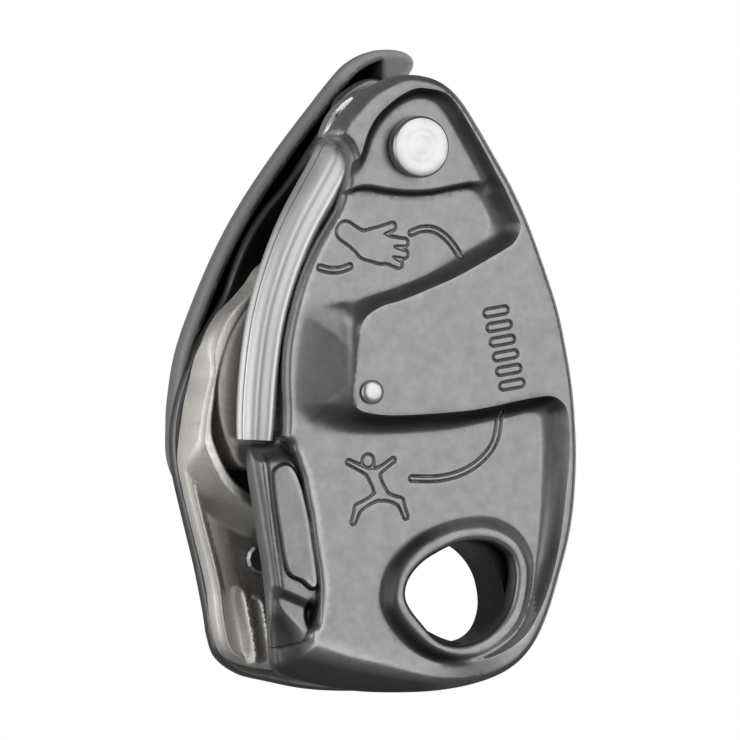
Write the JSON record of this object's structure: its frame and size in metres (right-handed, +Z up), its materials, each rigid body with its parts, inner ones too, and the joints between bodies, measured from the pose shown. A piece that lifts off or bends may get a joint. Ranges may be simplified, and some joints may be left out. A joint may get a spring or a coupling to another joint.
{
  "type": "belay device",
  "caption": "Assisted-braking belay device: swinging front plate with a wear strip, sprung cam in a steel wear shell, release handle at the back and a carabiner hole.",
  "frame": {"origin": "centre of the attachment hole, on the middle plane between the two side plates", "axes": "+X right in the front view, +Y from the swinging front plate to the handle at the back, +Z up along the device"},
  "size_m": [0.0603, 0.0365, 0.1014],
  "materials": {
    "grey_anodised": "fine satin, anodised grey",
    "dark_anodised": "fine satin, anodised dark grey",
    "stainless": "polished stainless steel",
    "blasted_stainless": "bead-blasted cast stainless steel",
    "cast_cam": "matt cast stainless steel",
    "handle_nylon": "moulded glass-filled nylon, fine grain",
    "spring_steel": "plain ground or drawn steel",
    "bronze": "plain bearing bronze"
  },
  "bodies": {
    "frame": {"fixed_side_plate": "dark_anodised", "wear_shell": "blasted_stainless", "shell_rivet_1": "stainless", "shell_rivet_2": "stainless", "friction_plate": "stainless", "friction_plate_rivet_1": "stainless", "friction_plate_rivet_2": "stainless", "main_pivot_pin": "stainless", "pivot_washer": "stainless", "pivot_spacer": "spring_steel", "cam_axle": "spring_steel", "cam_return_spring": "spring_steel", "handle_retainer": "spring_steel", "handle_spring": "spring_steel"},
    "moving_plate": {"moving_side_plate": "grey_anodised", "wear_strip": "stainless", "axle_catch": "stainless", "catch_rivet": "stainless", "strip_rivet_1": "stainless", "strip_rivet_2": "stainless", "strip_rivet_3": "stainless"},
    "cam": {"cam": "cast_cam", "cam_bush": "bronze", "drive_pin": "stainless"},
    "handle": {"handle_shell": "handle_nylon", "handle_core": "spring_steel", "handle_bush": "bronze", "pawl_pin": "stainless", "pawl_spring": "spring_steel", "core_rivet_1": "stainless", "core_rivet_2": "stainless"},
    "pawl": {"release_pawl": "stainless"},
    "selector": {"mode_selector": "handle_nylon"}
  },
  "joints": [
    {"name": "plate_swing", "type": "hinge", "parent": "frame", "child": "moving_plate", "pos_m": [-0.007, 0, 0.07], "axis": [0, 1, 0], "range_deg": [0, 130]},
    {"name": "cam_turn", "type": "hinge", "parent": "frame", "child": "cam", "pos_m": [-0.0155, 0, 0.0315], "axis": [0, 1, 0], "range_deg": [0, 18], "stiffness_Nm_per_rad": 0.06, "springref_deg": -20.05},
    {"name": "handle_turn", "type": "hinge", "parent": "frame", "child": "handle", "pos_m": [-0.0155, 0, 0.0315], "axis": [0, -1, 0], "range_deg": [0, 86], "stiffness_Nm_per_rad": 0.03, "springref_deg": -34.38},
    {"name": "pawl_turn", "type": "hinge", "parent": "handle", "child": "pawl", "pos_m": [-0.0067, 0.0143, 0.0474], "axis": [0, -1, 0], "range_deg": [0, 25], "stiffness_Nm_per_rad": 0.004, "springref_deg": -22.92},
    {"name": "selector_turn", "type": "hinge", "parent": "frame", "child": "selector", "pos_m": [-0.0155, 0, 0.0315], "axis": [0, 1, 0], "range_deg": [0, 60]}
  ]
}
